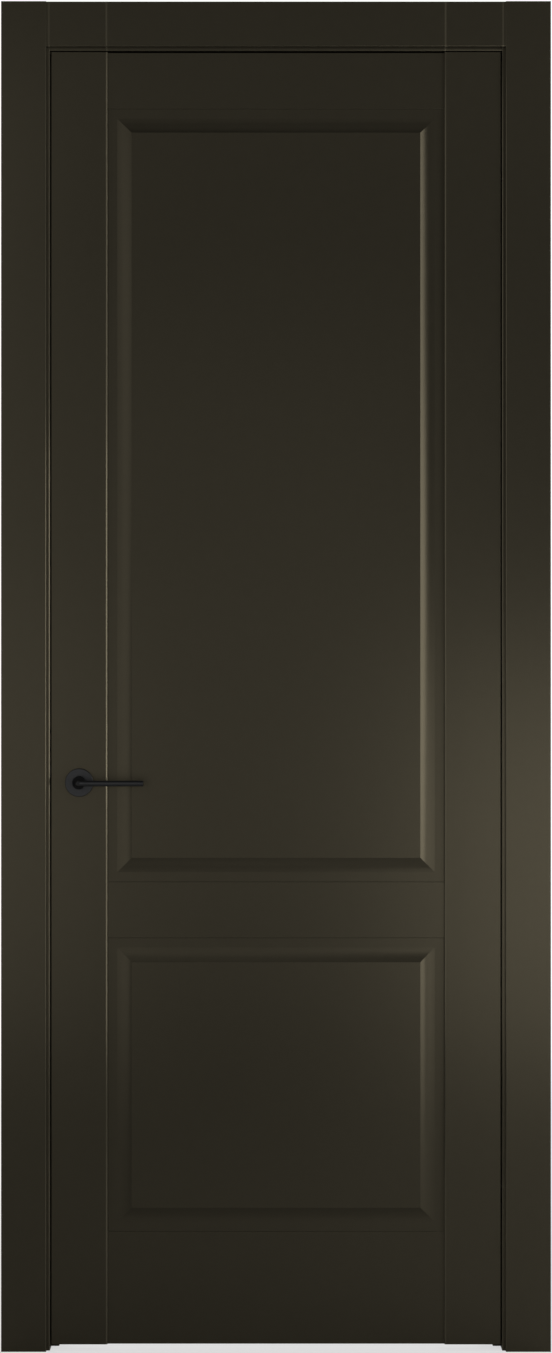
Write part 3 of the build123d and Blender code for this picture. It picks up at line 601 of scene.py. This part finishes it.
def add_screw(build, points, recess):
    """A threaded screw with a recessed head, on the axis and within the outline of its CAD solid."""
    head, way, stations = screw_profile(points)
    turn = Vector((0, 0, 1)).rotation_difference(way)
    length = stations[-1][0]
    top = stations[0][1] * HEAD_LAND

    def place(x, y, depth):
        return head + turn @ Vector((x, y, depth))

    neck = stations[1][0] if len(stations) > 2 else HEAD_CHAMFER
    depths = [HEAD_CHAMFER, neck] if neck > HEAD_CHAMFER else [HEAD_CHAMFER]
    step = THREAD_PITCH / STEPS_PER_TURN
    depths += [neck + step * i for i in range(1, int((length - neck) / step))] + [length]
    rows = [[(top * x, top * y, 0) for x, y in CIRCLE]]
    for depth in depths:
        row = []
        for i, (x, y) in enumerate(CIRCLE):
            phase = (depth / THREAD_PITCH - i / len(CIRCLE)) % 1
            cut = THREAD_DEPTH * abs(2 * phase - 1) if depth > neck else 0
            radius = max(radius_at(stations, depth) * (1 - cut), WELD)
            row.append((radius * x, radius * y, depth))
        rows.append(row)
    rings = [add_ring(build, place, row) for row in rows]
    for (upper, _), (lower, _) in zip(rings, rings[1:]):
        for face in add_band(build, upper, lower):
            face.smooth = True
    build.faces.new(rings[-1][0])
    outline = recess_outline(recess, top)
    sunk = RECESS_DEPTH * stations[0][1]
    mouth, mouth_edges = add_ring(build, place, [(x, y, 0) for x, y in outline])
    floor, _ = add_ring(build, place, [(x * RECESS_TAPER, y * RECESS_TAPER, sunk) for x, y in outline])
    add_band(build, mouth, floor)
    build.faces.new(floor)
    bmesh.ops.triangle_fill(build, edges=rings[0][1] + mouth_edges, use_beauty=True)


def threaded_screws(node_name, body, recess, material):
    """All the screws of a CAD node as one piece in its place."""
    build = bmesh.new()
    for points in separate_solids(node_name):
        add_screw(build, points, recess)
    bmesh.ops.recalc_face_normals(build, faces=build.faces)
    mesh = bpy.data.meshes.new(node_name)
    build.to_mesh(mesh)
    build.free()
    piece = add_piece(f"threaded_{node_name}", mesh, material)
    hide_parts(node_name)
    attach(piece, body)


def soft_box(name, place, target, width, height, power):
    """A rectangular lamp that looks at a point and isn't itself in the picture."""
    lamp = bpy.data.lights.new(name, "AREA")
    lamp.shape = "RECTANGLE"
    lamp.size = width
    lamp.size_y = height
    lamp.energy = power
    holder = bpy.data.objects.new(name, lamp)
    holder.location = place
    holder.rotation_euler = (Vector(target) - Vector(place)).to_track_quat("-Z", "Y").to_euler()
    holder.visible_camera = False
    bpy.context.scene.collection.objects.link(holder)


def white_rays(tree, depth):
    """1 for the rays that see the white background: the camera's, a pane's, and reflections behind the door."""
    path = add_node(tree, "ShaderNodeLightPath")
    behind = add_node(tree, "ShaderNodeMapRange", {"From Max": SHEETS_EDGE}, {"Value": depth})
    sheets = add_node(
        tree,
        "ShaderNodeMath",
        {"operation": "MULTIPLY"},
        {0: path.outputs["Is Glossy Ray"], 1: behind.outputs["Result"]},
    )
    seen = add_node(
        tree,
        "ShaderNodeMath",
        {"operation": "MAXIMUM"},
        {0: path.outputs["Is Camera Ray"], 1: path.outputs["Is Transmission Ray"]},
    )
    white = add_node(
        tree, "ShaderNodeMath", {"operation": "MAXIMUM"}, {0: seen.outputs["Value"], 1: sheets.outputs["Value"]}
    )
    return white.outputs["Value"]


def pale_floor_material():
    """
    Matt white-painted board with a faint roller mottle. To the camera it runs out into the white background, which
    gives no light to other surfaces, so no ray is spent on sampling it.
    """
    material, tree, shader = new_material("matt_pale_floor")
    place = add_node(tree, "ShaderNodeTexCoord")
    mottle = add_node(
        tree, "ShaderNodeTexNoise", {"Scale": per_metre(FLOOR_MOTTLE)}, {"Vector": place.outputs["Object"]}
    )
    tint = add_node(
        tree,
        "ShaderNodeMix",
        {"data_type": "RGBA", "A": rgba(linear("D2D2D2")), "B": rgba(linear("DADADA"))},
        {"Factor": mottle.outputs["Fac"]},
    )
    tree.links.new(tint.outputs["Result"], shader.inputs["Base Color"])
    shader.inputs["Roughness"].default_value = 0.8
    way = add_node(tree, "ShaderNodeSeparateXYZ", {}, {"Vector": place.outputs["Object"]})
    off = add_node(tree, "ShaderNodeVectorMath", {"operation": "LENGTH"}, {0: place.outputs["Object"]})
    fade = add_node(
        tree,
        "ShaderNodeMapRange",
        {"From Min": FLOOR_NEAR, "From Max": FLOOR_FAR, "To Min": WHITE_NEAR, "To Max": WHITE_FAR},
        {"Value": off.outputs["Value"]},
    )
    share = add_node(
        tree,
        "ShaderNodeMath",
        {"operation": "MULTIPLY"},
        {0: white_rays(tree, way.outputs["Y"]), 1: fade.outputs["Result"]},
    )
    glow = add_node(tree, "ShaderNodeEmission", {"Strength": 1.0})
    blend = add_node(
        tree,
        "ShaderNodeMixShader",
        {},
        {0: share.outputs["Value"], 1: shader.outputs["BSDF"], 2: glow.outputs["Emission"]},
    )
    tree.links.new(blend.outputs["Shader"], tree.nodes["Material Output"].inputs["Surface"])
    material.cycles.emission_sampling = "NONE"
    return material


def studio_floor():
    """The floor under the door, which keeps its shadow."""
    mesh = bpy.data.meshes.new("studio_floor")
    build = bmesh.new()
    bmesh.ops.create_grid(build, x_segments=1, y_segments=1, size=FLOOR_REACH)
    build.to_mesh(mesh)
    build.free()
    floor = add_piece("studio_floor", mesh, pale_floor_material())
    floor.location.z = CAD_BOX[0][2]


def studio_world(ambient):
    """White sheets behind the door, and a dim room on its front side. The camera and a pane see white all round."""
    world = bpy.data.worlds.new("studio_world")
    bpy.context.scene.world = world
    world.use_nodes = True
    tree = world.node_tree
    place = add_node(tree, "ShaderNodeTexCoord")
    way = add_node(tree, "ShaderNodeSeparateXYZ", {}, {"Vector": place.outputs["Generated"]})
    strength = add_node(
        tree,
        "ShaderNodeMix",
        {"data_type": "FLOAT", "A": ambient, "B": 1.0},
        {"Factor": white_rays(tree, way.outputs["Y"])},
    )
    back = tree.nodes["Background"]
    back.inputs["Color"].default_value = (1, 1, 1, 1)
    tree.links.new(strength.outputs["Result"], back.inputs["Strength"])


def studio_camera(distance):
    """The camera square on to the door, at half its height."""
    height = CAD_BOX[1][2] - CAD_BOX[0][2]
    seen = height * IMAGE_HEIGHT_PX / DOOR_HEIGHT_PX
    lens = bpy.data.cameras.new("camera")
    lens.sensor_width = SENSOR_MM
    lens.lens = SENSOR_MM * distance / seen
    camera = bpy.data.objects.new("camera", lens)
    casing_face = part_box("casing_front_left")[0][1]
    camera.location = (0.0, casing_face - distance, CAD_BOX[0][2] + height / 2)
    camera.rotation_euler = (math.radians(90), 0, 0)
    bpy.context.scene.collection.objects.link(camera)
    bpy.context.scene.camera = camera


class DOOR_OT_lacquer(bpy.types.Operator):
    """Give the leaf, the linings and the casings their lacquer"""

    bl_idname = "door.lacquer"
    bl_label = "Lacquer leaf and frame"

    def execute(self, context):
        lacquer = satin_pearl_lacquer()
        for name in LEAF_LACQUERED + LININGS + CASINGS:
            wear(name, lacquer)
        return {"FINISHED"}


class DOOR_OT_handle(bpy.types.Operator):
    """Finish the levers and the roses"""

    bl_idname = "door.handle"
    bl_label = "Finish the handle"

    def execute(self, context):
        coat = powder_coated_zinc()
        # A near-black matt coat for the lever's neck: painted shade at the lever's root
        neck_shade = painted_neck_shade_coat()
        for name in ROSES:
            wear(name, coat)
        for name in LEVERS:
            lever_with_painted_neck_shade(name, coat, neck_shade)
        return {"FINISHED"}


class DOOR_OT_ironmongery(bpy.types.Operator):
    """Finish the latch, the strike and the hinges"""

    bl_idname = "door.ironmongery"
    bl_label = "Finish latch and hinges"

    def execute(self, context):
        settings = context.scene.door_metal
        # Zinc, die-cast and satin plated: an even grey with a soft gleam
        cast = plated_metal("satin_plated_die_casting", settings.cast, 0.38, 0.5, (1, 1, 1))
        # Steel brushed upright: fine lines that draw its highlights out sideways
        brushed = plated_metal("brushed_steel", linear("9A9995"), 0.32, 0.3, (1, 1, 0.05))
        # Pressed steel and screws, zinc plated: pale, with cloudy spangles
        zinc = plated_metal("bright_zinc_plated_steel", settings.plated, 0.32, 1.5, (1, 1, 1))
        # Steel blackened in a salt bath and oiled: near black with a dull gleam
        black = plated_metal("black_oxide_steel", linear("2B2B2C"), 0.42, 0.6, (1, 1, 0.3))
        # Drawn spring wire with a film of oil: mid grey and smooth
        spring = plated_metal("oiled_spring_steel", linear("7C7C7B"), 0.32, 0.8, (1, 1, 1))
        for names, metal in ((HOUSINGS, cast), (ARMS, brushed), (PLATES, black), (STAMPED, zinc)):
            for name in names:
                wear(name, metal)
        for name, body, recess, blackened in SCREWS:
            slot, metal = ("plate_steel", black) if blackened else ("zinc_steel", zinc)
            threaded_screws(name, body, recess, metal)
        compressing_spring(spring)
        return {"FINISHED"}


class DOOR_OT_seals_and_dowels(bpy.types.Operator):
    """Finish the seals in the stop and the dowels in the rails"""

    bl_idname = "door.seals_and_dowels"
    bl_label = "Finish seals and dowels"

    def execute(self, context):
        rubber = extruded_seal_rubber()
        for name in SEALS:
            wear(name, rubber)
        wear("rail_dowels", turned_beech())
        return {"FINISHED"}


class DOOR_OT_stage(bpy.types.Operator):
    """Set up the floor, the lamps and the camera"""

    bl_idname = "door.stage"
    bl_label = "Set the stage"

    def execute(self, context):
        settings = context.scene.door_stage
        context.scene.view_settings.view_transform = "Standard"
        studio_floor()
        studio_world(settings.ambient)
        studio_camera(settings.distance)
        for name, (azimuth, distance, height, width, tall) in LAMPS.items():
            turn = math.radians(azimuth)
            place = (distance * math.sin(turn), -distance * math.cos(turn), height)
            soft_box(name, place, (0, 0, height), width, tall, getattr(settings, name))
        below = (*OVERHEAD_PLACE[:2], 0)
        soft_box("overhead", OVERHEAD_PLACE, below, *OVERHEAD_SIZE, settings.overhead)
        return {"FINISHED"}


OPERATORS = (
    DOOR_OT_lacquer,
    DOOR_OT_handle,
    DOOR_OT_ironmongery,
    DOOR_OT_seals_and_dowels,
    DOOR_OT_stage,
)


class DOOR_PT_panel(bpy.types.Panel):
    """The steps that finish the door"""

    bl_idname = "DOOR_PT_panel"
    bl_label = "Panelled door"
    bl_space_type = "VIEW_3D"
    bl_region_type = "UI"
    bl_category = "Door"

    def draw(self, context):
        for group in (context.scene.door_lacquer, context.scene.door_metal, context.scene.door_stage):
            for name in group.__annotations__:
                self.layout.prop(group, name)
        for operator in OPERATORS:
            self.layout.operator(operator.bl_idname)


GROUPS = {
    "door_lacquer": DoorLacquerSettings,
    "door_metal": DoorMetalSettings,
    "door_stage": DoorStageSettings,
}


def register():
    for name, group in GROUPS.items():
        bpy.utils.register_class(group)
        setattr(bpy.types.Scene, name, bpy.props.PointerProperty(type=group))
    for operator in OPERATORS:
        bpy.utils.register_class(operator)
    bpy.utils.register_class(DOOR_PT_panel)


def unregister():
    bpy.utils.unregister_class(DOOR_PT_panel)
    for operator in reversed(OPERATORS):
        bpy.utils.unregister_class(operator)
    for name, group in reversed(GROUPS.items()):
        delattr(bpy.types.Scene, name)
        bpy.utils.unregister_class(group)


def main():
    """Build and finish everything."""
    register()
    bpy.ops.door.lacquer()
    bpy.ops.door.handle()
    bpy.ops.door.ironmongery()
    bpy.ops.door.seals_and_dowels()
    bpy.ops.door.stage()


if __name__ == "__main__":
    main()
